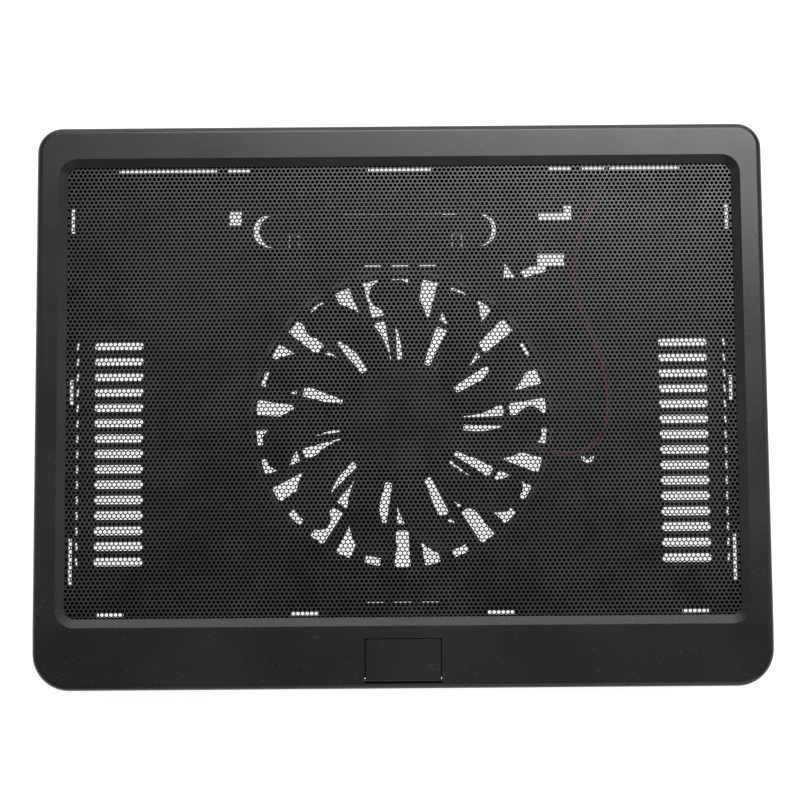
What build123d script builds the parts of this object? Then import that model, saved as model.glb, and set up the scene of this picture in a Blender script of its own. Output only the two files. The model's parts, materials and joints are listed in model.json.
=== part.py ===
from build123d import *
import math
import os

# Laptop cooling pad. Millimetres, +Z up. The origin is the centre of the footprint, on the table.
# The rear edge is towards +Y, and the stopper is at the front edge, towards -Y.

# Casing
WIDTH = 350.0
DEPTH = 270.0
HEIGHT = 26.0
REAR_CORNER = 12.0
FRONT_CORNER = 17.5
WALL = 2.0
ROOF = 3.0
EDGE_ROUND = 3.0
SKIRT_LOW = 3.0
CREASE_Y = -106.0
FRONT_DROP = 1.5

# Window in the top frame, and the sheet of mesh under its lip
WINDOW_W = 320.5
WINDOW_D = 217.0
WINDOW_Y = 7.0
WINDOW_CORNER = 5.0
BEVEL_RUN = 4.0
LIP = 0.6
MESH_T = 0.6
MESH_W = 330.6
MESH_D = 225.8
MESH_Y = 8.9
MESH_CORNER = 6.0
RIDGE_T = 1.6
BOSS_ROOT = 0.2

# Base pan
PAN_LOW = 2.0
FLOOR_T = 2.2
PAN_GAP = 0.2
STEP = 0.8
PAN_CHAMFER = 0.8

# Fan and grille
FAN_Y = -7.0
INNER_RING_R = (30.4, 50.1)
OUTER_RING_R = (53.0, 70.9)
GRILLE_WINDOWS = 30
GRILLE_WINDOW_DEG = 6.2
GRILLE_PHASE_DEG = 6.03
GRILLE_CORNER = 0.8
SHROUD_R = 72.5
SHROUD_T = 1.6
SHROUD_TOP = 16.0

BLADES = 11
BLADE_ROOT_R = 24.2
BLADE_TIP_R = 67.5
BLADE_SWEEP_R = (30.4, 67.0)
BLADE_ROOT_DEG = (34.7, 56.3)
BLADE_SWEEP_DEG = (21.3, 14.6)
BLADE_SWEEP_POWER = 1.69
BLADE_FLARE_DEG = 14.0
BLADE_FLARE_POWER = 4
BLADE_LOW = 6.6
BLADE_HIGH = 18.6
BLADE_T = 1.4
BLADE_THINNING = (0.5, 0.7)
BLADE_CAMBER = 0.12
BLADE_OVERRUN = 1.15
TIP_CORNER = 5.5
HUB_R = 25.0
HUB_WALL = 2.05
HUB_LOW = 7.2
HUB_HIGH = 19.5
HUB_ROOF = 1.95
HUB_ROUND = 1.5
SHAFT_BOSS_R = 3.8
SHAFT_BOSS_GAP = 0.6

# Motor
SHAFT_R = 1.5
SHAFT_LOW = 3.65
SHAFT_HIGH = 18.6
SHAFT_CHAMFER = 0.3
RUNNING_GAP = 0.04
THRUST_GAP = 0.05
SEAT_GAP = 0.02
TUBE_R = 4.0
TUBE_BORE_R = 3.0
TUBE_LOW = 2.8
TUBE_HIGH = 15.0
TUBE_SEAT_T = 1.2
SLEEVE_Z = (5.4, 14.6)
CLIP_Z = (4.6, 5.0)
CLIP_R = 2.55
CLIP_SLOT = 0.8
GROOVE_R = 1.2
BOARD_Z = 5.45
BOARD_T = 1.0
STATOR_R = 17.9
BOARD_R = 17.5
STATOR_Z = (9.6, 13.2)
POLES = 4
POLE_HEAD_R = 15.5
POLE_NECK_W = 3.6
POLE_GAP_W = 6.8
CORE_HUB_T = 2.6
COIL_R = (7.2, 14.8)
COIL_W = 8.6
COIL_PROUD = 1.8
COIL_ROUND = 1.2
COIL_GAP = 0.1
SENSOR_R = (12.2, 15.2)
SENSOR_W = 4.0
SENSOR_H = 1.2
MAGNET_R = (18.5, 21.65)
MAGNET_Z = (8.2, 16.2)
YOKE_R = (21.7, 22.9)
YOKE_LOW = 8.0
YOKE_T = 0.8
YOKE_HOLE_R = 4.2

# Vents and slots in the pan floor
VENTS = 15
VENT_PITCH = 7.51
VENT_Y = 30.9
VENT_X = 137.9
VENT_LENGTH = 24.0
VENT_WIDTH = 4.1
SMALL_VENT_X = 158.1
SMALL_VENT = (1.4, 3.8)
EDGE_SLOT_W = 1.9
REAR_SLOT_Y = 118.2
REAR_SLOTS = [(90.2, 138.6), (73.5, 84.7)]
REAR_MIDDLE_SLOT = 15.5
FRONT_SLOT_Y = -99.9
FRONT_SLOTS = [(134.9, 147.9), (40.8, 54.2)]
SIDE_SLOT_X = 161.1
SIDE_SLOTS = [(87.2, 99.5), (2.4, 14.7), (-84.9, -62.8)]
DASH_ROWS = [(70.0, 0.9), (-94.7, 0.5)]
DASH_LENGTH = 8.0
DASH_PITCH = 13.5
ODD_WINDOWS = [
    [(68.4, 92.2), (84.6, 92.2), (84.6, 99.4), (80.8, 99.4), (80.8, 95.7), (68.4, 95.7)],
    [(-84.0, 90.7), (-78.0, 90.7), (-78.0, 97.6), (-84.0, 97.6)],
    [(67.5, 69.4), (80.7, 69.4), (80.7, 75.6), (67.5, 75.6)],
    [(50.8, 63.6), (56.4, 63.6), (51.4, 71.0)],
    [(58.6, 66.2), (61.0, 63.6), (71.6, 66.6), (71.6, 69.6), (65.0, 69.6)],
]
HOOK_PLACE = (90.5, -24.6)
HOOK_R = (3.2, 1.5)
MESH_POSTS = [(84.5, 40.5), (84.5, -48.0)]
MESH_POST_R = 3.6

# Raised areas of the pan floor: right half of the platform's outline, one side's field and seat, and a line
PLATFORM = [(74.7, 62.0), (74.7, -67.1), (61.0, -75.1)]
VENT_FIELD = [(134.7, -80.0), (134.7, 71.6), (138.3, 71.6), (156.7, 33.7), (156.7, -80.0)]
SEAT_PLACE = (111.5, 82.5)
SEAT_SIZE = (47.0, 40.0)
STEP_ROUND = 2.0
FRONT_LINE_X = 118.0
FRONT_LINE_Y = (-87.4, -86.4)

# Tilt leg, in a recess of the base pan
RECESS_W = 145.0
RECESS_Y = (78.4, 95.4)
RECESS_ROOF = (8.0, 9.5)
RECESS_WALL = 1.6
NOTCH_TOP_Y = 104.2
NOTCH_HALF = (29.5, 20.5)
RECESS_ROUND = 3.0
RECESS_CORNER = [(58.5, 95.4), (74.0, 84.0)]
LEG_SLOT_X = (-71.7, 47.1)
LEG_SLOT_Y = (78.4, 94.95)
LEG_X = (-69.0, 45.2)
LEG_Y = (79.2, 94.6)
LEG_Z = (2.3, 8.3)
LEG_LUGS = [-52.0, 28.0]
LUG_W = 4.2
LUG_GAP = 0.5
LEG_PIN_R = 1.25
LEG_PIN_L = 12.0
LEG_NOTCH = 3.2
LEG_ROUND = 1.2
LUG_R = 2.6
LUG_DROP = 1.6
GRIP_X = (-45.0, 21.0)
GRIP_D = 1.2
GRIP_HALF = 1.7
GRIP_PROUD = 0.3

# Front stopper
STOPPER_W = 35.8
STOPPER_HINGE_Y = -130.4
STOPPER_REACH = 18.8
STOPPER_T = 3.1
STOPPER_NOSE_R = 1.6
STOPPER_SEAM = 0.32
STOPPER_CORNER = 1.6
STOPPER_CHAMFER = 0.35
STOPPER_CLEARANCE = 0.1
PIN_DEPTH = 1.7
STOPPER_PIN_R = 0.9
STOPPER_PIN_L = 39.0

# Screws: each place stands for a pair, mirrored about X = 0
SCREW_PLACES = [(60.0, 127.6), (150.0, 127.6), (168.6, 0.0), (45.0, -118.0), (150.0, -118.0)]
BOSS_R = 3.1
BOSS_LOW = 6.2
SEAT_WALL = 1.0
PILOT_R = 1.5
PILOT_DEPTH = 10.0
COUNTERBORE = 2.4
SCREW_HEAD_R = 2.8
SCREW_HEAD_H = 1.9
SCREW_SHANK_R = 1.45
SCREW_SHANK_L = 9.0
SLOT_W = 0.8

# Power inlet
INLET_X = 110.0
INLET_BOARD = (24.0, 10.0)
INLET_BOARD_Y = 127.3
INLET_BOARD_ROUND = 1.0
SHELL_W = 7.7
SHELL_H = 3.9
SHELL_D = 9.0
SHELL_T = 0.35
SHELL_TAPER = (1.0, 1.2)
PLUG_WAY = (12.5, 7.5)
INLET_SCREW_X = 9.0
INLET_POST_R = 2.2
INLET_PILOT_R = 1.0
INLET_HOLE_R = 1.15
BOARD_SCREW = (1.9, 1.1, 0.95, 3.4)
CONTACT_X = (-1.6, -0.8, 0, 0.8, 1.6)
CONTACT_W = 0.36
CONTACT_T = 0.2
TONGUE_W = 4.8
TONGUE_T = 0.8
TONGUE_RISE = 0.3
BLOCK_D = 1.6

# Motor lead: two wires side by side
WIRE_R = 0.6
WIRE_SHIFT = 0.7
WIRE_LIFT = 0.05
CHANNEL_W = 3.8
CHANNEL_ROOM = 0.6
PEG_SHIFT = 2.6
PEG_R = 1.0
PEG_TOP = 8.0
BOARD_END_R = 10.0
ANCHOR_R = 88.0
LEAD_ANGLE_DEG = -11.97
LEAD_ROUTE = [(100.5, -13.0), (101.5, 14.0), (92.5, 38.0), (85.0, 60.0), (88.0, 84.0), (100.0, 108.0)]
LEAD_END = (104.0, 124.0)

# Rubber feet
FOOT_D = 9.0
FOOT_CHAMFER = 0.4
FRONT_FOOT_X = 75.0
FOOT_HALF = 30.5
FOOT_TAPER = 3.0
LIP_HALF = 26.0
LIP_GAP = 0.1
REAR_FOOT_W = 34.0
REAR_FOOT_ROUND = 2.5
REAR_FOOT_X = 130.0
REAR_FOOT_Y = 111.5

PAN_TOP = PAN_LOW + FLOOR_T
WIRE_Z = PAN_TOP + WIRE_R + WIRE_LIFT
MESH_TOP = HEIGHT - ROOF
MESH_LOW = MESH_TOP - MESH_T
SLOPE_DEG = math.degrees(math.atan2(FRONT_DROP, DEPTH / 2 + CREASE_Y))
FAN = Pos(0, FAN_Y, 0)
SHELL_Z = BOARD_Z + BOARD_T
SHELL_Y = (DEPTH / 2 - WALL - SHELL_D, DEPTH / 2 - WALL)
TONGUE_Z = SHELL_Z + SHELL_H / 2 + TONGUE_RISE
FAR = 400.0


def block(x, y, z):
    """Box between two X, two Y and two Z values."""
    centre = Pos((x[0] + x[1]) / 2, (y[0] + y[1]) / 2, (z[0] + z[1]) / 2)
    return centre * Box(x[1] - x[0], y[1] - y[0], z[1] - z[0])


def post(x, y, radius, z):
    """Upright cylinder between two Z values."""
    return Pos(x, y, (z[0] + z[1]) / 2) * Cylinder(radius, z[1] - z[0])


def rod(radius, x, y, z):
    """Cylinder along X between two X values."""
    return Pos((x[0] + x[1]) / 2, y, z) * Rot(0, 90, 0) * Cylinder(radius, x[1] - x[0])


def plate(sketch, z):
    """A flat outline raised from the first Z value to the second."""
    return extrude(Pos(0, 0, z[0]) * sketch, amount=z[1] - z[0], dir=(0, 0, 1))


def both_sides(places):
    """Each place and its mirror image about X = 0."""
    return [(sign * x, y) for x, y in places for sign in (-1, 1)]


def tube(outer, inner, z):
    """Upright ring on the fan's axis."""
    return FAN * (post(0, 0, outer, z) - post(0, 0, inner, z))


# ---------------------------------------------------------------- casing


def footprint(inset):
    """Outline of the pad with larger corners at the front, drawn in by inset."""
    outline = Rectangle(WIDTH - 2 * inset, DEPTH - 2 * inset)
    outline = fillet(outline.vertices().group_by(Axis.Y)[-1], REAR_CORNER - inset)
    return fillet(outline.vertices().group_by(Axis.Y)[0], FRONT_CORNER - inset)


def above_front_slope(drop):
    """Everything above the sloping front panel, lowered by drop."""
    profile = Polygon(
        (CREASE_Y, HEIGHT),
        (CREASE_Y - 2 * (DEPTH / 2 + CREASE_Y), HEIGHT - 2 * FRONT_DROP),
        (CREASE_Y - 2 * (DEPTH / 2 + CREASE_Y), HEIGHT + FRONT_DROP),
        (CREASE_Y, HEIGHT + FRONT_DROP),
        align=None,
    )
    return Pos(0, 0, -drop) * extrude(Plane.YZ * profile, amount=FAR / 2, both=True)


def casing_block():
    """Outer shape of the top frame, with its upper edge rounded."""
    body = plate(footprint(0), (SKIRT_LOW, HEIGHT)) - above_front_slope(0)
    upper = body.edges().filter_by(lambda edge: edge.center().Z > HEIGHT - 2 * FRONT_DROP)
    rim = upper.filter_by(lambda edge: abs(edge.center().Y - CREASE_Y) > 1 or abs(edge.center().X) > 1)
    return fillet(rim, EDGE_ROUND)


def casing_hollow():
    """Space under the roof and inside the skirt."""
    return plate(footprint(WALL), (0, MESH_TOP)) - above_front_slope(ROOF)


def window_cutter():
    """The window and the bevel that leads down to it."""
    narrow = RectangleRounded(WINDOW_W, WINDOW_D, WINDOW_CORNER)
    wide = RectangleRounded(WINDOW_W + 2 * BEVEL_RUN, WINDOW_D + 2 * BEVEL_RUN, WINDOW_CORNER + BEVEL_RUN)
    bevel = loft([Pos(0, WINDOW_Y, MESH_TOP + LIP) * narrow, Pos(0, WINDOW_Y, HEIGHT) * wide])
    return bevel + plate(Pos(0, WINDOW_Y) * narrow, (MESH_TOP - 1, MESH_TOP + LIP))


def stopper_place():
    """Hinge line of the stopper, tilted with the front panel: local Y runs up the panel."""
    surface = HEIGHT - (CREASE_Y - STOPPER_HINGE_Y) * math.tan(math.radians(SLOPE_DEG))
    return Pos(0, STOPPER_HINGE_Y, surface - PIN_DEPTH) * Rot(SLOPE_DEG, 0, 0)


def stopper_pocket():
    """The stopper's pocket, and the thicker walls round it, in the stopper's own frame."""
    half = STOPPER_W / 2 + STOPPER_SEAM
    front = -STOPPER_NOSE_R - STOPPER_SEAM
    rear = STOPPER_REACH + STOPPER_SEAM
    floor = -STOPPER_T
    space = block((-half, half), (front, rear), (floor, 2 * PIN_DEPTH))
    walls = block((-half - WALL, half + WALL), (front - 1, rear + WALL), (floor - WALL, 0))
    return space, walls


def make_top_frame():
    """Moulded surround: skirt, bezel, sunken window, screw bosses and the stopper's pocket."""
    frame = casing_block() - casing_hollow() - window_cutter()
    space, walls = (stopper_place() * shape for shape in stopper_pocket())
    frame = frame + walls - space
    pin_x = (-STOPPER_PIN_L / 2, STOPPER_PIN_L / 2)
    frame = frame - stopper_place() * rod(STOPPER_PIN_R + SEAT_GAP, pin_x, 0, 0)
    places = both_sides(SCREW_PLACES)
    frame = frame + [post(x, y, BOSS_R, (BOSS_LOW, MESH_TOP + BOSS_ROOT)) for x, y in places]
    frame = frame - [post(x, y, PILOT_R, (BOSS_LOW, BOSS_LOW + PILOT_DEPTH)) for x, y in places]
    way_x = (INLET_X - PLUG_WAY[0] / 2, INLET_X + PLUG_WAY[0] / 2)
    middle = BOARD_Z + BOARD_T + SHELL_H / 2
    way_z = (middle - PLUG_WAY[1] / 2, middle + PLUG_WAY[1] / 2)
    return frame - block(way_x, (DEPTH / 2 - WALL - 1, DEPTH / 2 + 1), way_z)


def make_mesh_panel():
    """Sheet that lies under the lip of the window and on the pan's ridge."""
    return plate(Pos(0, MESH_Y) * RectangleRounded(MESH_W, MESH_D, MESH_CORNER), (MESH_LOW, MESH_TOP))


# ---------------------------------------------------------------- motor lead


def lead_points():
    """Middle line of the pair of wires, from the motor board to the inlet's board."""
    turn = math.radians(LEAD_ANGLE_DEG)
    start = (BOARD_END_R * math.cos(turn), FAN_Y + BOARD_END_R * math.sin(turn))
    anchor = (ANCHOR_R * math.cos(turn), FAN_Y + ANCHOR_R * math.sin(turn))
    return [start, anchor, *LEAD_ROUTE, LEAD_END]


def beside(points, shift):
    """A line of points that runs beside another one."""
    moved = []
    for index, point in enumerate(points):
        before = Vector(*points[max(index - 1, 0)])
        here = Vector(*point)
        after = Vector(*points[min(index + 1, len(points) - 1)])
        legs = [leg.normalized() for leg in (here - before, after - here) if leg.length > 0]
        along = sum(legs, Vector()).normalized()
        across = Vector(-along.Y, along.X)
        moved.append(here + across * (shift / along.dot(legs[0])))
    return moved


def lead_line(shift):
    """Straight runs and arcs of the lead, drawn beside its middle line."""
    points = beside(lead_points(), shift)
    radii = []
    for before, here, after in zip(points, points[1:], points[2:]):
        turn = math.radians((here - before).get_angle(after - here))
        radii.append(0.45 * min((here - before).length, (after - here).length) / math.tan(turn / 2))
    return FilletPolyline(*points, radius=radii)


# ---------------------------------------------------------------- base pan


def grille_window(radii):
    """One window between two radii, with rounded corners, on the +X side."""
    start = -GRILLE_WINDOW_DEG / 2
    inner = CenterArc((0, 0), radii[0], start, GRILLE_WINDOW_DEG)
    outer = CenterArc((0, 0), radii[1], start, GRILLE_WINDOW_DEG)
    sides = [Line(inner @ 0, outer @ 0), Line(inner @ 1, outer @ 1)]
    window = make_face(Curve() + [inner, outer, *sides])
    return plate(fillet(window.vertices(), GRILLE_CORNER), (0, PAN_TOP + 2 * STEP))


def grille_cutters():
    """All the windows of both rings of the fan grille."""
    spots = PolarLocations(0, GRILLE_WINDOWS, start_angle=GRILLE_PHASE_DEG)
    return [FAN * spot * grille_window(radii) for radii in (INNER_RING_R, OUTER_RING_R) for spot in spots]


def vent_cutters():
    """Side vents, with a small slot outside each."""
    through = (0, PAN_TOP + 2 * STEP)
    wide = SlotOverall(VENT_LENGTH, VENT_WIDTH)
    small = RectangleRounded(*SMALL_VENT, SMALL_VENT[0] / 3)
    rows = [VENT_Y - VENT_PITCH * row for row in range(VENTS)]
    cutters = []
    for x, outline in ((VENT_X, wide), (SMALL_VENT_X, small)):
        places = both_sides([(x, y) for y in rows])
        cutters += [plate(Pos(*place) * outline, through) for place in places]
    return cutters


def slot_cutters():
    """Narrow slots inside the edge of the window, and the dashes in front of and behind the fan."""
    through = (0, PAN_TOP + 2 * STEP)
    half = EDGE_SLOT_W / 2
    spans = [((a, b), (REAR_SLOT_Y - half, REAR_SLOT_Y + half)) for a, b in REAR_SLOTS]
    spans += [((a, b), (FRONT_SLOT_Y - half, FRONT_SLOT_Y + half)) for a, b in FRONT_SLOTS]
    spans += [((SIDE_SLOT_X - half, SIDE_SLOT_X + half), span) for span in SIDE_SLOTS]
    cutters = []
    for (x0, x1), y in spans:
        cutters += [block((x0, x1), y, through), block((-x1, -x0), y, through)]
    middle = (-REAR_MIDDLE_SLOT, REAR_MIDDLE_SLOT)
    cutters.append(block(middle, (REAR_SLOT_Y - half, REAR_SLOT_Y + half), through))
    for y, width in DASH_ROWS:
        dash = SlotOverall(DASH_LENGTH, width)
        cutters += [plate(Pos(place * DASH_PITCH, y) * dash, through) for place in (-1, 0, 1)]
    return cutters


def wire_windows():
    """Odd openings: beside the leg's recess, near the wires, and round a hook."""
    through = (0, PAN_TOP + 2 * STEP)
    cutters = [plate(Polygon(*outline, align=None), through) for outline in ODD_WINDOWS]
    x, y = HOOK_PLACE
    outer, inner = HOOK_R
    hook = post(x, y, outer, through) - post(x, y, inner, through)
    return cutters + [hook - block((x - 2 * outer, x + 2 * outer), (y, y + 2 * outer), through)]


def steps():
    """Shallow raised areas of the floor: fan platform, vent fields, rear seats and the front line."""
    level = (PAN_LOW, PAN_TOP + STEP)
    left = [(-x, y) for x, y in reversed(PLATFORM)]
    platform = plate(Polygon(*PLATFORM, *left, align=None), level)
    field = plate(Polygon(*VENT_FIELD, align=None), level)
    seat = plate(Pos(*SEAT_PLACE) * RectangleRounded(*SEAT_SIZE, STEP_ROUND), level)
    line = block((-FRONT_LINE_X, FRONT_LINE_X), FRONT_LINE_Y, level)
    return [platform, line, field, seat, mirror(field, about=Plane.YZ), mirror(seat, about=Plane.YZ)]


def recess_outline():
    """Plan of the leg's recess, with the finger notch at its rear and one corner cut off."""
    corner, end = RECESS_CORNER
    bar = Pos(0, sum(RECESS_Y) / 2) * RectangleRounded(RECESS_W, RECESS_Y[1] - RECESS_Y[0], RECESS_ROUND)
    bar = bar - Polygon(corner, end, (FAR, end[1]), (FAR, FAR), (corner[0], FAR), align=None)
    low = RECESS_Y[1] - 1
    wide, narrow = NOTCH_HALF
    notch = Polygon((-wide, low), (wide, low), (narrow, NOTCH_TOP_Y), (-narrow, NOTCH_TOP_Y), align=None)
    return bar + notch


def leg_bar(x, y, z):
    """A bar with round ends."""
    outline = SlotOverall(x[1] - x[0], y[1] - y[0])
    return plate(Pos(sum(x) / 2, sum(y) / 2) * outline, z)


def leg_axis():
    """Y and Z of the leg's hinge line."""
    radius = (LEG_Z[1] - LEG_Z[0]) / 2
    return LEG_Y[0] + radius, LEG_Z[0] + radius


def leg_lugs():
    """Ears that hold the leg's pins, each with its running bore."""
    y, z = leg_axis()
    lugs = []
    for x in LEG_LUGS:
        span = (x - LUG_W / 2, x + LUG_W / 2)
        root = block(span, (RECESS_Y[0] - RECESS_WALL / 2, y), (z - LUG_DROP, z + LUG_R))
        ear = rod(LUG_R, span, y, z) + root
        lugs.append(ear - rod(LEG_PIN_R + RUNNING_GAP, span, y, z))
    return lugs


def ridge():
    """Wall that presses the edge of the mesh up against the frame, with a notch for the wires."""
    outer = RectangleRounded(MESH_W, MESH_D, MESH_CORNER)
    inner = RectangleRounded(MESH_W - 2 * RIDGE_T, MESH_D - 2 * RIDGE_T, MESH_CORNER - RIDGE_T)
    return plate(Pos(0, MESH_Y) * (outer - inner), (PAN_LOW, MESH_LOW))


def wire_channel():
    """Groove for the pair of wires, through the steps, the shroud and the ridge."""
    return plate(trace(lead_line(0), CHANNEL_W), (PAN_TOP, WIRE_Z + WIRE_R + CHANNEL_ROOM))


def wire_posts():
    """Pairs of short pegs that keep the wires in place."""
    pegs = []
    for start, end in zip(LEAD_ROUTE[:-1:2], LEAD_ROUTE[1::2]):
        middle = Vector((start[0] + end[0]) / 2, (start[1] + end[1]) / 2)
        along = Vector(end[0] - start[0], end[1] - start[1]).normalized()
        across = Vector(-along.Y, along.X) * PEG_SHIFT
        pegs += [post(p.X, p.Y, PEG_R, (PAN_LOW, PEG_TOP)) for p in (middle + across, middle - across)]
    return pegs


def make_base_pan():
    """Moulded tray: floor, fan grille, shroud, vents, leg recess, posts and screw seats."""
    floor = plate(footprint(WALL + PAN_GAP), (PAN_LOW, PAN_TOP))
    floor = chamfer(floor.faces().sort_by(Axis.Z)[0].edges(), PAN_CHAMFER)
    places = both_sides(SCREW_PLACES)
    posts = both_sides(MESH_POSTS)
    shroud = tube(SHROUD_R + SHROUD_T, SHROUD_R, (PAN_LOW, SHROUD_TOP))
    recess = recess_outline()
    inlet_x = [INLET_X - INLET_SCREW_X, INLET_X + INLET_SCREW_X]
    pan = floor + steps() + ridge()
    pan = pan + plate(offset(recess, RECESS_WALL), (PAN_LOW, RECESS_ROOF[1]))
    pan = pan + [post(x, y, BOSS_R + SEAT_WALL, (PAN_LOW, BOSS_LOW)) for x, y in places]
    pan = pan + [post(x, y, MESH_POST_R, (PAN_LOW, MESH_LOW)) for x, y in posts]
    pan = pan + [post(x, INLET_BOARD_Y, INLET_POST_R, (PAN_LOW, BOARD_Z)) for x in inlet_x]
    pan = pan + wire_posts()
    pan = pan - FAN * post(0, 0, SHROUD_R, (PAN_TOP, HEIGHT)) + shroud
    pan = pan + FAN * post(0, 0, TUBE_R + TUBE_SEAT_T, (PAN_LOW, BOARD_Z))
    pan = pan - plate(recess, (0, RECESS_ROOF[0])) - leg_bar(LEG_SLOT_X, LEG_SLOT_Y, (0, HEIGHT))
    pan = pan - grille_cutters() - vent_cutters() - slot_cutters() - wire_windows() - wire_channel()
    pan = pan - [post(x, y, PILOT_R, (PAN_TOP, MESH_LOW)) for x, y in posts]
    pan = pan - [post(x, y, PILOT_R + PAN_GAP, (0, BOSS_LOW)) for x, y in places]
    pan = pan - [post(x, y, SCREW_HEAD_R + PAN_GAP, (0, PAN_LOW + COUNTERBORE)) for x, y in places]
    pan = pan - [post(x, INLET_BOARD_Y, INLET_PILOT_R, (PAN_LOW + 1, BOARD_Z)) for x in inlet_x]
    pan = pan - FAN * post(0, 0, TUBE_R + SEAT_GAP, (TUBE_LOW, BOARD_Z))
    return pan + leg_lugs()


# ---------------------------------------------------------------- fan


def edge_angles(radius):
    """Angles of a blade's trailing and leading edges at this radius, in degrees."""
    start, end = BLADE_SWEEP_R
    share = max(radius - start, 0) / (end - start)
    sweep = share**BLADE_SWEEP_POWER
    trailing, leading = (root + turn * sweep for root, turn in zip(BLADE_ROOT_DEG, BLADE_SWEEP_DEG))
    return trailing, leading + BLADE_FLARE_DEG * share**BLADE_FLARE_POWER


def blade_plan():
    """Outline of one blade from above, with a well rounded leading corner at the tip."""
    radii = [BLADE_ROOT_R + (BLADE_TIP_R - BLADE_ROOT_R) * step / 6 for step in range(7)]

    def edge(side):
        angles = [math.radians(edge_angles(r)[side]) for r in radii]
        return [(r * math.cos(a), r * math.sin(a)) for r, a in zip(radii, angles)]

    trailing, leading = Spline(*edge(0)), Spline(*edge(1))
    tip = RadiusArc(trailing @ 1, leading @ 1, -BLADE_TIP_R)
    outline = make_face(Curve() + [trailing, tip, leading, Line(leading @ 0, trailing @ 0)])
    outer = outline.vertices().sort_by(lambda vertex: math.hypot(vertex.X, vertex.Y))[-2:]
    return fillet(outer.sort_by(lambda vertex: math.atan2(vertex.Y, vertex.X))[-1], TIP_CORNER)


def blade_section(radius):
    """Cambered cross-section of a blade, upright, at right angles to the radius."""
    trailing, leading = edge_angles(radius)
    run = radius * math.tan(math.radians(leading - trailing) / 2) * BLADE_OVERRUN
    rise = (BLADE_HIGH - BLADE_LOW) / 2
    camber = BLADE_CAMBER * run
    ends = [Vector(-run, rise), Vector(run, -rise)]
    along = (ends[1] - ends[0]).normalized()
    normal = Vector(-along.Y, along.X)
    half = normal * (BLADE_T / 2)
    middle = normal * camber
    first, last = (half * share for share in BLADE_THINNING)
    upper = ThreePointArc(ends[0] + first, middle + half, ends[1] + last)
    lower = ThreePointArc(ends[0] - first, middle - half, ends[1] - last)
    face = make_face(Curve() + [upper, lower, Line(upper @ 0, lower @ 0), Line(upper @ 1, lower @ 1)])
    turn = math.radians(trailing + leading) / 2
    outward = Vector(math.cos(turn), math.sin(turn))
    level = (BLADE_HIGH + BLADE_LOW) / 2
    plane = Plane(
        origin=(radius * outward.X, radius * outward.Y, level),
        x_dir=(-outward.Y, outward.X, 0),
        z_dir=(outward.X, outward.Y, 0),
    )
    return plane * face


def make_fan_impeller():
    """Hub with its swept blades, moulded in one piece."""
    radii = [BLADE_ROOT_R - 3, 32.0, 40.0, 48.0, 56.0, 64.0, BLADE_TIP_R + 3]
    twisted = loft([blade_section(r) for r in radii])
    blade = twisted & plate(blade_plan(), (BLADE_LOW, BLADE_HIGH))
    hub = post(0, 0, HUB_R, (HUB_LOW, HUB_HIGH))
    hub = fillet(hub.faces().sort_by(Axis.Z)[-1].edges(), HUB_ROUND)
    ceiling = HUB_HIGH - HUB_ROOF
    hub = hub - post(0, 0, HUB_R - HUB_WALL, (HUB_LOW, ceiling))
    hub = hub + post(0, 0, SHAFT_BOSS_R, (TUBE_HIGH + SHAFT_BOSS_GAP, ceiling))
    hub = hub - post(0, 0, SHAFT_R + SEAT_GAP, (TUBE_HIGH, SHAFT_HIGH))
    blades = [spot * blade for spot in PolarLocations(0, BLADES)]
    return FAN * (hub + blades)


def make_rotor_yoke():
    """Steel cup inside the hub."""
    top = HUB_HIGH - HUB_ROOF - SEAT_GAP
    cup = post(0, 0, YOKE_R[1], (YOKE_LOW, top))
    cup = cup - post(0, 0, YOKE_R[0], (YOKE_LOW, top - YOKE_T))
    return FAN * (cup - post(0, 0, YOKE_HOLE_R, (YOKE_LOW, top)))


def make_rotor_magnet():
    """Ring magnet inside the yoke."""
    return tube(MAGNET_R[1], MAGNET_R[0], MAGNET_Z)


def make_rotor_shaft():
    """Ground steel shaft with a groove for its clip."""
    shaft = post(0, 0, SHAFT_R, (SHAFT_LOW, SHAFT_HIGH))
    shaft = chamfer(shaft.edges().filter_by(GeomType.CIRCLE), SHAFT_CHAMFER)
    groove = post(0, 0, SHAFT_R + 1, CLIP_Z) - post(0, 0, GROOVE_R, CLIP_Z)
    return FAN * (shaft - groove)


def make_shaft_clip():
    """Split washer that stops the shaft from lifting out of its bearing."""
    ring = post(0, 0, CLIP_R, CLIP_Z) - post(0, 0, GROOVE_R + SEAT_GAP, CLIP_Z)
    return FAN * (ring - block((0, SHAFT_R * 2), (-CLIP_SLOT / 2, CLIP_SLOT / 2), CLIP_Z))


def make_bearing_sleeve():
    """Sintered bronze bearing in which the shaft runs."""
    return tube(TUBE_BORE_R - SEAT_GAP, SHAFT_R + RUNNING_GAP, SLEEVE_Z)


def make_bearing_tube():
    """Brass tube that holds the bearing and carries the stator."""
    return tube(TUBE_R, TUBE_BORE_R, (TUBE_LOW, TUBE_HIGH))


def make_thrust_pad():
    """Nylon disc under the end of the shaft."""
    return FAN * post(0, 0, TUBE_BORE_R - SEAT_GAP, (TUBE_LOW, SHAFT_LOW - THRUST_GAP))


def make_stator_core():
    """Laminated core: a hub and four poles with broad heads."""
    core = post(0, 0, TUBE_R + CORE_HUB_T, STATOR_Z)
    rim = post(0, 0, STATOR_R, STATOR_Z) - post(0, 0, POLE_HEAD_R, STATOR_Z)
    gap = block((0, STATOR_R + 1), (-POLE_GAP_W / 2, POLE_GAP_W / 2), STATOR_Z)
    neck = block((0, POLE_HEAD_R + 0.5), (-POLE_NECK_W / 2, POLE_NECK_W / 2), STATOR_Z)
    turns = [360 / POLES * k for k in range(POLES)]
    gaps = [Rot(0, 0, turn + 180 / POLES) * gap for turn in turns]
    necks = [Rot(0, 0, turn) * neck for turn in turns]
    core = core + (rim - gaps) + necks
    return FAN * (core - post(0, 0, TUBE_R + SEAT_GAP, STATOR_Z))


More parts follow.
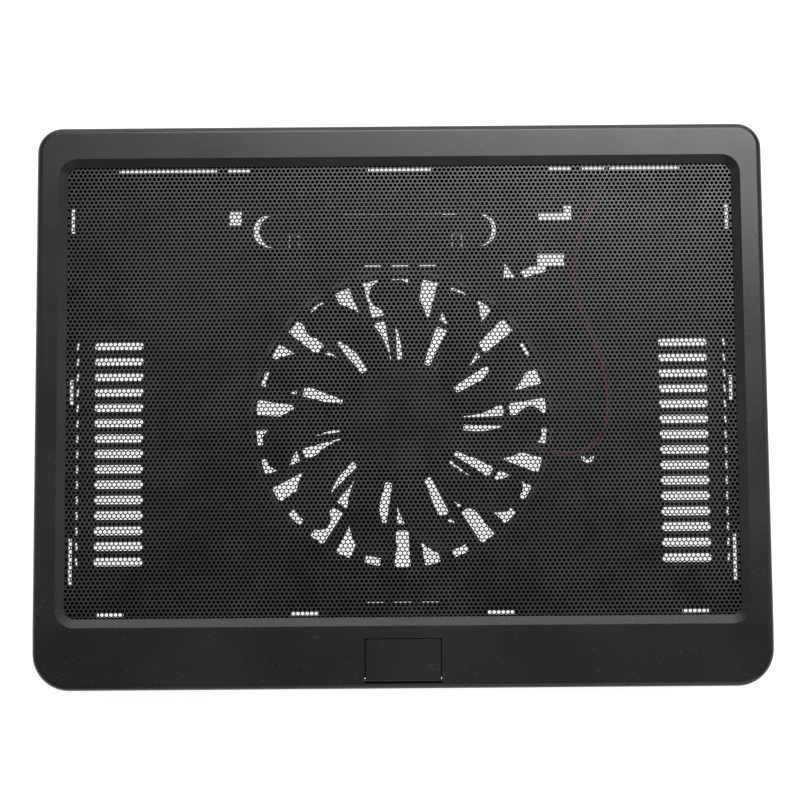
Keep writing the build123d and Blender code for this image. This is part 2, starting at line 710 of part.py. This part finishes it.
def make_stator_coils():
    """Copper winding round the neck of each pole."""
    height = (STATOR_Z[0] - COIL_PROUD, STATOR_Z[1] + COIL_PROUD)
    winding = block(COIL_R, (-COIL_W / 2, COIL_W / 2), height)
    winding = fillet(winding.edges().filter_by(Axis.X), COIL_ROUND)
    half = POLE_NECK_W / 2 + COIL_GAP
    hole = block((0, STATOR_R), (-half, half), (STATOR_Z[0] - COIL_GAP, STATOR_Z[1] + COIL_GAP))
    coils = [FAN * Rot(0, 0, 360 / POLES * k) * (winding - hole) for k in range(POLES)]
    return Compound(children=coils)


def make_motor_board():
    """Ring-shaped circuit board under the stator."""
    return tube(BOARD_R, TUBE_R + SEAT_GAP, (BOARD_Z, BOARD_Z + BOARD_T))


def make_hall_sensor():
    """Sensor and driver chip that switches the coils."""
    level = BOARD_Z + BOARD_T
    return FAN * Rot(0, 0, 45) * block(SENSOR_R, (-SENSOR_W / 2, SENSOR_W / 2), (level, level + SENSOR_H))


# ---------------------------------------------------------------- hinged pieces


def make_front_stopper():
    """Flap that folds up from the front panel to hold the laptop."""
    half = STOPPER_W / 2
    top = STOPPER_NOSE_R
    slab = Pos(0, STOPPER_REACH / 2) * RectangleRounded(STOPPER_W, STOPPER_REACH, STOPPER_CORNER)
    square = Pos(0, STOPPER_REACH / 4) * Rectangle(STOPPER_W, STOPPER_REACH / 2)
    flap = plate(slab + square, (top - STOPPER_T + STOPPER_CLEARANCE, top))
    rim = flap.faces().sort_by(Axis.Z)[-1].edges()
    flap = chamfer(rim.filter_by(lambda edge: edge.center().Y > 1), STOPPER_CHAMFER)
    flap = flap + rod(STOPPER_NOSE_R, (-half, half), 0, 0)
    flap = flap - rod(STOPPER_PIN_R + RUNNING_GAP, (-half, half), 0, 0)
    return stopper_place() * flap


def make_stopper_pin():
    """Steel pin held in the walls of the pocket."""
    half = STOPPER_PIN_L / 2 - SEAT_GAP
    return stopper_place() * rod(STOPPER_PIN_R, (-half, half), 0, 0)


def make_tilt_leg():
    """Folding bar that lifts the rear of the pad."""
    y, z = leg_axis()
    radius = y - LEG_Y[0]
    side = Pos(y, z) * Circle(radius) + Pos((y + LEG_Y[1]) / 2, z) * Rectangle(LEG_Y[1] - y, 2 * radius)
    side = fillet(side.vertices().group_by(Axis.X)[-1], LEG_ROUND)
    leg = leg_bar(LEG_X, LEG_Y, LEG_Z) & extrude(Plane.YZ * side, amount=FAR / 2, both=True)
    for x in LEG_LUGS:
        span = (x - LUG_W / 2 - LUG_GAP, x + LUG_W / 2 + LUG_GAP)
        leg = leg - block(span, (LEG_Y[0] - 1, y + LEG_NOTCH), LEG_Z)
        seat = LEG_PIN_L / 2 + SEAT_GAP
        leg = leg - rod(LEG_PIN_R + SEAT_GAP, (x - seat, x + seat), y, z)
    return leg - grip_block(SEAT_GAP, 0)


def grip_block(gap, proud):
    """Space of the rubber strip at the tip of the leg."""
    middle = sum(LEG_Z) / 2
    half = GRIP_HALF + gap
    y = (LEG_Y[1] - GRIP_D - gap, LEG_Y[1] + proud)
    return block((GRIP_X[0] - gap, GRIP_X[1] + gap), y, (middle - half, middle + half))


def make_leg_grip():
    """Rubber strip that grips the table when the leg is down."""
    return grip_block(0, GRIP_PROUD)


def make_leg_pins():
    """Two steel hinge pins, one through each lug."""
    y, z = leg_axis()
    half = LEG_PIN_L / 2
    return Compound(children=[rod(LEG_PIN_R, (x - half, x + half), y, z) for x in LEG_LUGS])


# ---------------------------------------------------------------- feet and screws


def make_front_feet():
    """Long rubber feet along the front edge, with tapered ends and a lip in front of the pan."""
    front = -DEPTH / 2
    right = [(FOOT_HALF, front + FOOT_D), (FOOT_HALF, front + FOOT_TAPER), (LIP_HALF, front)]
    left = [(-x, y) for x, y in reversed(right)]
    foot = plate(Polygon(*right, *left, align=None), (0, PAN_LOW))
    foot = chamfer(foot.faces().sort_by(Axis.Z)[0].edges(), FOOT_CHAMFER)
    lip = block((-LIP_HALF, LIP_HALF), (front, front + WALL), (PAN_LOW / 2, SKIRT_LOW - LIP_GAP))
    return Compound(children=[Pos(x, 0, 0) * (foot + lip) for x in (-FRONT_FOOT_X, FRONT_FOOT_X)])


def make_rear_feet():
    """Rubber feet under the rear corners."""
    foot = plate(RectangleRounded(REAR_FOOT_W, FOOT_D, REAR_FOOT_ROUND), (0, PAN_LOW))
    foot = chamfer(foot.faces().sort_by(Axis.Z)[0].edges(), FOOT_CHAMFER)
    return Compound(children=[Pos(x, REAR_FOOT_Y, 0) * foot for x in (-REAR_FOOT_X, REAR_FOOT_X)])


def cross_head_screw(head_r, head_h, shank_r, shank_l):
    """Screw standing on its head's outer face at Z = 0, with a cross slot in that face."""
    screw = post(0, 0, head_r, (0, head_h))
    screw = fillet(screw.edges().filter_by(GeomType.CIRCLE).sort_by(Axis.Z)[0], head_h / 3)
    screw = screw + post(0, 0, shank_r, (head_h, head_h + shank_l))
    arm = head_r * 0.6
    slot = block((-arm, arm), (-SLOT_W / 2, SLOT_W / 2), (0, head_h / 2))
    return screw - slot - Rot(0, 0, 90) * slot


def make_casing_screws():
    """Self-tapping screws from below, through the pan into the frame's bosses."""
    screw = cross_head_screw(SCREW_HEAD_R, SCREW_HEAD_H, SCREW_SHANK_R, SCREW_SHANK_L)
    low = PAN_LOW + COUNTERBORE - SCREW_HEAD_H
    return Compound(children=[Pos(x, y, low) * screw for x, y in both_sides(SCREW_PLACES)])


# ---------------------------------------------------------------- power inlet and wires


def make_socket_board():
    """Small circuit board that carries the power inlet."""
    half_w, half_d = INLET_BOARD[0] / 2, INLET_BOARD[1] / 2
    y = (INLET_BOARD_Y - half_d, INLET_BOARD_Y + half_d)
    board = block((INLET_X - half_w, INLET_X + half_w), y, (BOARD_Z, BOARD_Z + BOARD_T))
    board = fillet(board.edges().filter_by(Axis.Z), INLET_BOARD_ROUND)
    screws = (INLET_X - INLET_SCREW_X, INLET_X + INLET_SCREW_X)
    return board - [post(x, INLET_BOARD_Y, INLET_HOLE_R, (BOARD_Z, BOARD_Z + BOARD_T)) for x in screws]


def shell_section(inset):
    """Cross-section of the inlet, narrower towards its foot, drawn in by inset."""
    half, low, high = SHELL_W / 2 - inset, inset, SHELL_H - inset
    run, rise = SHELL_TAPER
    right = [(half - run, low), (half, low + rise), (half, high)]
    left = [(-x, z) for x, z in reversed(right)]
    return Polygon(*right, *left, align=None)


def make_usb_shell():
    """Folded steel shell of the inlet, open to the rear."""
    ring = shell_section(0) - shell_section(SHELL_T)
    plane = Plane(origin=(INLET_X, SHELL_Y[1], SHELL_Z), x_dir=(-1, 0, 0), z_dir=(0, 1, 0))
    return extrude(plane * ring, amount=-SHELL_D)


def make_usb_contact_block():
    """Insulating block that closes the shell's inner end, with the tongue."""
    plane = Plane(origin=(INLET_X, SHELL_Y[0] + BLOCK_D, SHELL_Z), x_dir=(-1, 0, 0), z_dir=(0, 1, 0))
    back = extrude(plane * shell_section(SHELL_T + SEAT_GAP), amount=-BLOCK_D)
    x = (INLET_X - TONGUE_W / 2, INLET_X + TONGUE_W / 2)
    y = (SHELL_Y[0] + BLOCK_D / 2, SHELL_Y[1] - BLOCK_D)
    return back + block(x, y, (TONGUE_Z - TONGUE_T / 2, TONGUE_Z + TONGUE_T / 2))


def make_usb_contacts():
    """Five contact strips on the under side of the tongue."""
    top = TONGUE_Z - TONGUE_T / 2
    y = (SHELL_Y[0] + BLOCK_D, SHELL_Y[1] - BLOCK_D - CONTACT_T)
    strip = block((-CONTACT_W / 2, CONTACT_W / 2), y, (top - CONTACT_T, top))
    return Compound(children=[Pos(INLET_X + x, 0, 0) * strip for x in CONTACT_X])


def make_board_screws():
    """Two small screws that hold the board on its posts."""
    screw = Rot(180, 0, 0) * cross_head_screw(*BOARD_SCREW)
    level = SHELL_Z + BOARD_SCREW[1]
    places = [INLET_X - INLET_SCREW_X, INLET_X + INLET_SCREW_X]
    return Compound(children=[Pos(x, INLET_BOARD_Y, level) * screw for x in places])


def make_wire(shift):
    """One wire of the motor lead, flat on the pan floor."""
    route = Pos(0, 0, WIRE_Z) * lead_line(shift)
    return sweep(Plane(route @ 0, z_dir=route % 0) * Circle(WIRE_R), path=route)


NODES = {
    "top_frame": make_top_frame,
    "mesh_panel": make_mesh_panel,
    "base_pan": make_base_pan,
    "fan_impeller": make_fan_impeller,
    "rotor_yoke": make_rotor_yoke,
    "rotor_magnet": make_rotor_magnet,
    "rotor_shaft": make_rotor_shaft,
    "shaft_clip": make_shaft_clip,
    "bearing_sleeve": make_bearing_sleeve,
    "bearing_tube": make_bearing_tube,
    "thrust_pad": make_thrust_pad,
    "stator_core": make_stator_core,
    "stator_coils": make_stator_coils,
    "motor_board": make_motor_board,
    "hall_sensor": make_hall_sensor,
    "front_stopper": make_front_stopper,
    "stopper_pin": make_stopper_pin,
    "tilt_leg": make_tilt_leg,
    "leg_grip": make_leg_grip,
    "leg_pins": make_leg_pins,
    "front_feet": make_front_feet,
    "rear_feet": make_rear_feet,
    "casing_screws": make_casing_screws,
    "socket_board": make_socket_board,
    "usb_shell": make_usb_shell,
    "usb_contact_block": make_usb_contact_block,
    "usb_contacts": make_usb_contacts,
    "board_screws": make_board_screws,
    "motor_lead_red": lambda: make_wire(WIRE_SHIFT),
    "motor_lead_black": lambda: make_wire(-WIRE_SHIFT),
}

os.makedirs("parts", exist_ok=True)
for node, make in NODES.items():
    export_step(make(), f"parts/{node}.step")
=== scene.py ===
import json
import math

import bmesh
import bpy
import numpy as np
from mathutils import Matrix, Vector


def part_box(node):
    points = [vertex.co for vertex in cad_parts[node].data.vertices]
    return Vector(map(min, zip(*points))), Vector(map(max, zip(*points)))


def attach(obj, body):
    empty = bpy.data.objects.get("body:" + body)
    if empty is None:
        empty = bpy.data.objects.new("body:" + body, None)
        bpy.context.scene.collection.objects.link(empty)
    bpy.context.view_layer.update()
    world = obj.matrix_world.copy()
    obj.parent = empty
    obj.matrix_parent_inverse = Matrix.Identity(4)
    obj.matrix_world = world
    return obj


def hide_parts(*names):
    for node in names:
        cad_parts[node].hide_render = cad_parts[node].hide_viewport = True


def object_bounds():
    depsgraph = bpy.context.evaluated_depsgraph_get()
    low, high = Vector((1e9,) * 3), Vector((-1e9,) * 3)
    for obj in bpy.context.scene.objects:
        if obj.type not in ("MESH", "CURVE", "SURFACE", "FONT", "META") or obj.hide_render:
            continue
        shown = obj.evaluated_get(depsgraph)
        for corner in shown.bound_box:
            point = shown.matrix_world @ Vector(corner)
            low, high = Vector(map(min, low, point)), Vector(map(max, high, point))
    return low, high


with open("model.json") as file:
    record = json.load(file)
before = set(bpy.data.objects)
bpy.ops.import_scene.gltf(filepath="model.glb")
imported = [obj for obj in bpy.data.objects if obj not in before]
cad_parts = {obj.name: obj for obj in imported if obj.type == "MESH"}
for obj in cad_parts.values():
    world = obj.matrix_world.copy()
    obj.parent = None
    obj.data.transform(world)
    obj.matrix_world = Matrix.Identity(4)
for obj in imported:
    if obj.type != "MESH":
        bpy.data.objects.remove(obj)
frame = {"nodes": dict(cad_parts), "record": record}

# Looks of the laptop cooling pad. Metres, +Z up, in the frame of the CAD model.

CAD_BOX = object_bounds()
MM = 0.001


# ---------------------------------------------------------------- camera, floor and light

VIEW_LENS = 85.0
VIEW_DISTANCE = 0.900
VIEW_LEAN_DEG = 5.8
VIEW_ROLL_DEG = -0.45
VIEW_TARGET = Vector((-0.6 * MM, 1.3 * MM, CAD_BOX[1].z))
VIEW_CLIP_END = 60.0
SENSOR_WIDTH = 36.0
FLOOR_HALF = 15.0
FLOOR_DROP = 0.2 * MM
FLOOR_GLOW = 0.9
ROOM_SHADE = (0.5, 0.5, 0.51, 1.0)
ROOM_STRENGTH = 0.40


def make_camera():
    """Camera almost straight above the pad, leaning a little towards its front edge."""
    data = bpy.data.cameras.new("camera")
    data.lens = VIEW_LENS
    data.sensor_width = SENSOR_WIDTH
    data.clip_end = VIEW_CLIP_END
    camera = bpy.data.objects.new("camera", data)
    lean = math.radians(VIEW_LEAN_DEG)
    offset = Vector((0, -math.sin(lean), math.cos(lean))) * VIEW_DISTANCE
    turn = Matrix.Rotation(lean, 4, "X") @ Matrix.Rotation(math.radians(VIEW_ROLL_DEG), 4, "Z")
    camera.matrix_world = Matrix.Translation(VIEW_TARGET + offset) @ turn
    bpy.context.scene.collection.objects.link(camera)
    bpy.context.scene.camera = camera


def make_floor():
    """Plain white surface, lit from within like a light table, so that it shows white under the pad."""
    mesh = bpy.data.meshes.new("floor")
    corners = [(-1, -1), (1, -1), (1, 1), (-1, 1)]
    mesh.from_pydata([(x * FLOOR_HALF, y * FLOOR_HALF, 0) for x, y in corners], [], [(0, 1, 2, 3)])
    floor = bpy.data.objects.new("floor", mesh)
    floor.location.z = -FLOOR_DROP
    bpy.context.scene.collection.objects.link(floor)
    look = Look("floor_white", roughness=0.9, specular=0.1)
    look.colour((0.42, 0.42, 0.43), (0.46, 0.46, 0.46), scale=4)
    look.set("Emission Color", (1.0, 1.0, 1.0, 1.0))
    look.set("Emission Strength", FLOOR_GLOW)
    mesh.materials.append(look.material)


def area_light(name, place, size, power, aim=(0, 0, 0)):
    """Soft rectangular light that faces the aim point."""
    data = bpy.data.lights.new(name, "AREA")
    data.shape = "RECTANGLE"
    data.size, data.size_y = size
    data.energy = power
    light = bpy.data.objects.new(name, data)
    light.location = place
    light.rotation_euler = (Vector(aim) - Vector(place)).to_track_quat("-Z", "Y").to_euler()
    bpy.context.scene.collection.objects.link(light)


def make_lights():
    """A broad soft box behind the pad, weaker ones at the sides and in front, and an even grey room."""
    area_light("rear_soft_box", (0.24, 0.74, 1.45), (1.15, 0.46), 18.0)
    area_light("rear_strip", (0.1, 1.6, 0.75), (2.4, 0.25), 12.0)
    area_light("right_soft_box", (1.25, 0.1, 0.72), (0.4, 0.8), 1.1)
    area_light("left_soft_box", (-1.2, 0.1, 0.9), (0.4, 0.8), 0.5)
    area_light("front_fill", (0.4, -1.3, 0.8), (1.2, 0.3), 2.6)
    world = bpy.data.worlds.new("room")
    world.use_nodes = True
    room = world.node_tree.nodes["Background"].inputs
    room["Color"].default_value = ROOM_SHADE
    room["Strength"].default_value = ROOM_STRENGTH
    bpy.context.scene.world = world


# ---------------------------------------------------------------- materials


class Look:
    """One material: a Principled shader with procedural colour, roughness and bump."""

    def __init__(self, name, roughness=0.5, metallic=0.0, specular=0.5, coat=0.0):
        self.slot = name
        self.material = bpy.data.materials.new(name)
        self.material.use_nodes = True
        self.tree = self.material.node_tree
        self.shader = self.tree.nodes["Principled BSDF"]
        self.set("Roughness", roughness)
        self.set("Metallic", metallic)
        self.set("Specular IOR Level", specular)
        self.set("Coat Weight", coat)
        self.place = self.tree.nodes.new("ShaderNodeTexCoord").outputs["Object"]

    def set(self, socket, value):
        """The same value all over the surface."""
        self.shader.inputs[socket].default_value = value

    def link(self, output, target):
        """Joins an output to an input."""
        self.tree.links.new(output, target)

    def stretched(self, stretch, turn_deg=0.0):
        """The object's own coordinates, scaled on each axis, for grain that runs one way."""
        mapping = self.tree.nodes.new("ShaderNodeMapping")
        mapping.inputs["Scale"].default_value = stretch
        mapping.inputs["Rotation"].default_value = (0, 0, math.radians(turn_deg))
        self.link(self.place, mapping.inputs["Vector"])
        return mapping.outputs["Vector"]

    def noise(self, scale, detail=3.0, vector=None):
        """Soft noise from 0 to 1, about scale lumps to the metre."""
        node = self.tree.nodes.new("ShaderNodeTexNoise")
        node.inputs["Scale"].default_value = scale
        node.inputs["Detail"].default_value = detail
        self.link(vector or self.place, node.inputs["Vector"])
        return node.outputs["Fac"]

    def ramp(self, value, low, high, first=0.0, last=1.0):
        """value, from low to high, becomes first to last."""
        node = self.tree.nodes.new("ShaderNodeMapRange")
        node.inputs["From Min"].default_value = low
        node.inputs["From Max"].default_value = high
        node.inputs["To Min"].default_value = first
        node.inputs["To Max"].default_value = last
        self.link(value, node.inputs["Value"])
        return node.outputs["Result"]

    def combine(self, first, second):
        """Sum of two values."""
        node = self.tree.nodes.new("ShaderNodeMath")
        node.operation = "ADD"
        self.link(first, node.inputs[0])
        self.link(second, node.inputs[1])
        return node.outputs["Value"]

    def colour(self, dark, light, scale=60, vector=None, low=0.35, high=0.65):
        """Base colour that drifts between two shades."""
        share = self.ramp(self.noise(scale, vector=vector), low, high)
        self.mix_colour(share, dark, light)

    def mix_colour(self, share, dark, light):
        """Base colour from dark to light by share. dark may be what is there already."""
        node = self.tree.nodes.new("ShaderNodeMix")
        node.data_type = "RGBA"
        self.link(share, node.inputs["Factor"])
        if isinstance(dark, bpy.types.NodeSocket):
            self.link(dark, node.inputs["A"])
        else:
            node.inputs["A"].default_value = (*dark, 1.0)
        node.inputs["B"].default_value = (*light, 1.0)
        self.link(node.outputs["Result"], self.shader.inputs["Base Color"])
        self.base = node.outputs["Result"]

    def roughness(self, low, high, scale=120, vector=None):
        """Roughness that drifts between two values."""
        value = self.ramp(self.noise(scale, vector=vector), 0.35, 0.65, low, high)
        self.link(value, self.shader.inputs["Roughness"])
        self.rough = value

    def bump(self, height, strength, distance):
        """Bump on top of any that is there already."""
        node = self.tree.nodes.new("ShaderNodeBump")
        node.inputs["Strength"].default_value = strength
        node.inputs["Distance"].default_value = distance
        self.link(height, node.inputs["Height"])
        if self.shader.inputs["Normal"].links:
            self.link(self.shader.inputs["Normal"].links[0].from_socket, node.inputs["Normal"])
        self.link(node.outputs["Normal"], self.shader.inputs["Normal"])

    def dust(self, shade, scale=900, low=0.71, high=0.77):
        """Fine pale specks."""
        specks = self.ramp(self.noise(scale, 1.0), low, high, 0.0, 0.4)
        self.mix_colour(specks, self.base, shade)

    def scratches(self, turn_deg, amount):
        """Faint straight hairlines that change the gloss."""
        along = self.stretched((60, 2600, 60), turn_deg)
        lines = self.ramp(self.noise(1.0, 2.0, along), 0.66, 0.72, 0.0, amount)
        value = self.combine(self.rough, lines)
        self.link(value, self.shader.inputs["Roughness"])
        self.rough = value

    def waves(self, scale, direction, distortion=0.0):
        """Even bands across one axis."""
        node = self.tree.nodes.new("ShaderNodeTexWave")
        node.wave_type = "BANDS"
        node.bands_direction = direction
        node.inputs["Scale"].default_value = scale
        node.inputs["Distortion"].default_value = distortion
        self.link(self.place, node.inputs["Vector"])
        return node.outputs["Fac"]


def casing_look():
    """Semi-gloss black moulding with faint handling marks and dust."""
    look = Look("casing_black", specular=0.5)
    look.colour((0.010, 0.010, 0.011), (0.016, 0.016, 0.017), scale=25)
    look.roughness(0.27, 0.33, scale=30)
    look.scratches(24, 0.06)
    look.scratches(-57, 0.05)
    look.dust((0.12, 0.12, 0.12))
    look.bump(look.noise(1600, 2.0), 0.12, 0.00004)
    look.bump(look.noise(14, 1.0), 0.05, 0.0006)
    return look


def sheet_look():
    """Satin black powder coat on the punched steel sheet."""
    look = Look("mesh_paint", specular=0.75)
    look.colour((0.016, 0.016, 0.017), (0.029, 0.029, 0.031), scale=35)
    look.roughness(0.30, 0.42, scale=60)
    look.dust((0.16, 0.16, 0.16), scale=1500)
    look.bump(look.noise(2600, 2.0), 0.25, 0.00004)
    return look


def pan_look():
    """Satin black moulding with a fine spark-eroded grain."""
    look = Look("pan_black", specular=0.06)
    look.colour((0.0025, 0.0025, 0.0028), (0.0065, 0.0065, 0.007), scale=18)
    look.roughness(0.45, 0.58, scale=30)
    look.dust((0.08, 0.08, 0.08), scale=700)
    look.bump(look.noise(2200, 3.0), 0.35, 0.00006)
    return look


def fan_look():
    """Smooth satin black of the impeller, with tone that drifts at random, dust and a fine grain."""
    look = Look("fan_black", specular=0.07)
    look.colour((0.0025, 0.0025, 0.0025), (0.0065, 0.0065, 0.007), scale=40)
    look.roughness(0.38, 0.50, scale=70)
    look.dust((0.07, 0.07, 0.07), scale=1100)
    look.bump(look.noise(900, 2.0), 0.12, 0.00005)
    return look


def rubber_look():
    """Matt black rubber, a little greyed by wear."""
    look = Look("foot_rubber", specular=0.3)
    look.colour((0.018, 0.018, 0.018), (0.040, 0.040, 0.040), scale=90)
    look.roughness(0.70, 0.86, scale=150)
    look.bump(look.noise(2400, 3.0), 0.4, 0.00008)
    return look


def metal_look(name, dark, light, low, high, stretch=(400, 400, 3000)):
    """Metal with fine grain along one way."""
    look = Look(name, metallic=1.0)
    grain = look.stretched(stretch)
    look.colour(dark, light, scale=1.0, vector=grain)
    look.roughness(low, high, scale=1.0, vector=grain)
    look.bump(look.noise(1.0, 2.0, grain), 0.15, 0.00003)
    return look


def lamination_look():
    """Edges of stacked steel sheets."""
    look = metal_look("core_steel", (0.30, 0.30, 0.31), (0.48, 0.48, 0.50), 0.30, 0.45)
    look.bump(look.waves(1000, "Z"), 0.5, 0.0001)
    return look


def coil_look():
    """Turns of enamelled copper wire, with painted shade darkening the copper in the grooves between
    turns.
    """
    look = Look("coil_copper", metallic=1.0, coat=0.5)
    turns_and_groove_shade = look.waves(900, "Z", 0.3)
    # the copper goes dark in the grooves between turns and bright on their tops: painted shade; the same
    # bands give the real bump of the turns
    look.mix_colour(turns_and_groove_shade, (0.28, 0.08, 0.03), (0.80, 0.33, 0.14))
    look.roughness(0.22, 0.35, scale=200)
    look.bump(turns_and_groove_shade, 0.8, 0.00015)
    return look


def board_look():
    """Green solder mask over darker board, with the outline of copper areas under it."""
    look = Look("board_green", specular=0.5, coat=0.3)
    areas = look.ramp(look.noise(260, 0.0), 0.50, 0.53)
    look.mix_colour(areas, (0.006, 0.060, 0.028), (0.018, 0.130, 0.060))
    look.roughness(0.25, 0.35, scale=200)
    look.bump(areas, 0.4, 0.00004)
    return look


def moulded_look(name, dark, light, low, high, scale=150):
    """Small moulded piece in one shade with a fine grain."""
    look = Look(name)
    look.colour(dark, light, scale=scale)
    look.roughness(low, high, scale=scale * 2)
    look.bump(look.noise(2500, 2.0), 0.2, 0.00004)
    return look


def make_looks():
    """Every slot of the record with its material."""
    looks = [
        casing_look(),
        sheet_look(),
        pan_look(),
        fan_look(),
        rubber_look(),
        lamination_look(),
        coil_look(),
        board_look(),
        metal_look("screw_steel", (0.05, 0.05, 0.055), (0.11, 0.11, 0.12), 0.30, 0.42),
        metal_look("pin_steel", (0.52, 0.52, 0.54), (0.68, 0.68, 0.70), 0.18, 0.30, (3000, 400, 400)),
        metal_look("shell_steel", (0.56, 0.56, 0.57), (0.72, 0.72, 0.73), 0.22, 0.36, (400, 3000, 400)),
        metal_look("tube_brass", (0.58, 0.42, 0.16), (0.78, 0.60, 0.28), 0.22, 0.34),
        metal_look("bearing_bronze", (0.36, 0.22, 0.11), (0.54, 0.36, 0.20), 0.45, 0.60, (900,) * 3),
        metal_look("contact_gold", (0.78, 0.56, 0.18), (0.90, 0.70, 0.30), 0.15, 0.25, (400, 2000, 400)),
        moulded_look("nylon", (0.70, 0.69, 0.63), (0.82, 0.81, 0.76), 0.40, 0.50),
        moulded_look("chip_black", (0.020, 0.020, 0.020), (0.034, 0.034, 0.034), 0.50, 0.62),
        moulded_look("wire_red", (0.16, 0.010, 0.009), (0.24, 0.016, 0.014), 0.32, 0.42),
        moulded_look("wire_black", (0.012, 0.012, 0.012), (0.020, 0.020, 0.020), 0.32, 0.42),
        moulded_look("ferrite", (0.050, 0.047, 0.045), (0.085, 0.080, 0.078), 0.55, 0.70, 400),
    ]
    return {look.slot: look.material for look in looks}


def dress_nodes(looks):
    """Gives every CAD node the material of its slot."""
    for part in frame["record"]["subparts"]:
        mesh = frame["nodes"][part["node"]].data
        for index in range(max(len(mesh.materials), 1)):
            if index < len(mesh.materials):
                mesh.materials[index] = looks[part["material_slot"]]
            else:
                mesh.materials.append(looks[part["material_slot"]])


# ---------------------------------------------------------------- punched sheet

WINDOW_HALF_X = 160.25 * MM
WINDOW_Y = (-101.5 * MM, 115.5 * MM)
PITCH = 2.157 * MM
ROW = PITCH * math.sqrt(3) / 2
HOLE_R = 0.87 * MM
HOLE_SIDES = 12
PUNCHED_MARGIN = 1.0 * MM
STRIPS = 6

# Corners of a hole are numbered counter-clockwise from 15 degrees. A web joins the sides of two holes
# that face each other, and a junction fills the space between three holes.
WEBS = {
    "right": [("here", 11), ("right", 6), ("right", 5), ("here", 0)],
    "up_right": [("here", 1), ("up_right", 8), ("up_right", 7), ("here", 2)],
    "up_left": [("here", 3), ("up_left", 10), ("up_left", 9), ("here", 4)],
}
JUNCTIONS = [
    [("here", 0), ("right", 5), ("right", 4), ("up_right", 9), ("up_right", 8), ("here", 1)],
    [("here", 2), ("up_right", 7), ("up_right", 6), ("up_left", 11), ("up_left", 10), ("here", 3)],
]


def sheet_strip(name, rows, columns, low, high, window, material):
    """Rows of holes between two corners of the sheet, as a plate with real thickness."""
    middle = (low + high) / 2
    row_index = np.arange(rows[0], rows[1] + 1)
    column_index = np.arange(-columns, columns + 1)
    column, row = np.meshgrid(column_index, row_index)
    centre_x = middle.x + (column + 0.5 * (row % 2)) * PITCH
    centre_y = middle.y + row * ROW
    angle = np.radians(15 + 30 * np.arange(HOLE_SIDES))
    x = centre_x[..., None] + HOLE_R * np.cos(angle)
    y = centre_y[..., None] + HOLE_R * np.sin(angle)
    x = np.clip(x, low.x, high.x)
    y = np.clip(y, low.y, high.y)
    number = np.arange(x.size).reshape(x.shape)
    inside_x = (centre_x > window[0].x) & (centre_x < window[1].x)
    inside_y = (centre_y > window[0].y) & (centre_y < window[1].y)
    punched = inside_x & inside_y

    def corners(spots):
        """Corner numbers of one kind of face at every hole that has the neighbours."""
        picked = []
        for j in range(len(row_index) - 1):
            shift = row_index[j] % 2
            steps = {"here": (0, 0), "right": (0, 1), "up_right": (1, shift), "up_left": (1, shift - 1)}
            inner = np.arange(1, len(column_index) - 1)
            around = [(j + steps[spot][0], inner + steps[spot][1], corner) for spot, corner in spots]
            picked.append(np.stack([number[place] for place in around], -1))
        return np.concatenate(picked)

    top = [corners(web) for web in WEBS.values()] + [corners(junction) for junction in JUNCTIONS]
    own = slice(0, len(row_index) - 1), slice(1, len(column_index) - 1)
    top.append(number[own][~punched[own]])

    count = x.size
    walls = number[own][punched[own]]
    after = np.roll(walls, -1, axis=-1)
    walls = np.stack([walls, after, after + count, walls + count], -1).reshape(-1, 4)
    flat = np.stack([x.ravel(), y.ravel()], -1)
    points = np.concatenate([np.c_[flat, np.full(count, high.z)], np.c_[flat, np.full(count, low.z)]])
    faces = [face for block in top for face in block.tolist()]
    faces += [[corner + count for corner in reversed(face)] for face in faces]
    faces += walls.tolist()
    return sheet_object(name, points, faces, material)


def sheet_object(name, points, faces, material):
    """Mesh from points and faces, without the faces that the sheet's edge flattened."""
    mesh = bpy.data.meshes.new(name)
    mesh.from_pydata(points.tolist(), [], faces)
    made = bmesh.new()
    made.from_mesh(mesh)
    bmesh.ops.dissolve_degenerate(made, dist=1e-6, edges=made.edges)
    bmesh.ops.remove_doubles(made, verts=made.verts, dist=1e-6)
    flat = [face for face in made.faces if face.calc_area() < 1e-12]
    bmesh.ops.delete(made, geom=flat, context="FACES")
    loose = [vert for vert in made.verts if not vert.link_faces]
    bmesh.ops.delete(made, geom=loose, context="VERTS")
    made.to_mesh(mesh)
    made.free()
    mesh.materials.append(material)
    piece = bpy.data.objects.new(name, mesh)
    bpy.context.scene.collection.objects.link(piece)
    return piece


def make_sheet(looks):
    """The punched steel sheet, in strips of rows that meet edge to edge."""
    low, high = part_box("mesh_panel")
    middle = (low + high) / 2
    frame_low, frame_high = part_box("top_frame")
    side = (frame_high.x - frame_low.x) / 2 - WINDOW_HALF_X
    window = (
        Vector((frame_low.x + side, WINDOW_Y[0])) - Vector((PUNCHED_MARGIN, PUNCHED_MARGIN)),
        Vector((frame_high.x - side, WINDOW_Y[1])) + Vector((PUNCHED_MARGIN, PUNCHED_MARGIN)),
    )
    rows = math.ceil((high.y - middle.y) / ROW) + 1
    columns = math.ceil((high.x - middle.x) / PITCH) + 2
    cuts = [round(-rows + 2 * rows * step / STRIPS) for step in range(STRIPS + 1)]
    paint = looks["mesh_paint"]
    for number, span in enumerate(zip(cuts, cuts[1:]), start=1):
        strip = sheet_strip(f"punched_sheet_{number}", span, columns, low, high, window, paint)
        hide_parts("mesh_panel")
        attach(strip, "base")


# ---------------------------------------------------------------- the scene

bpy.context.scene.view_settings.view_transform = "Standard"
make_camera()
make_floor()
make_lights()
LOOKS = make_looks()
dress_nodes(LOOKS)
make_sheet(LOOKS)
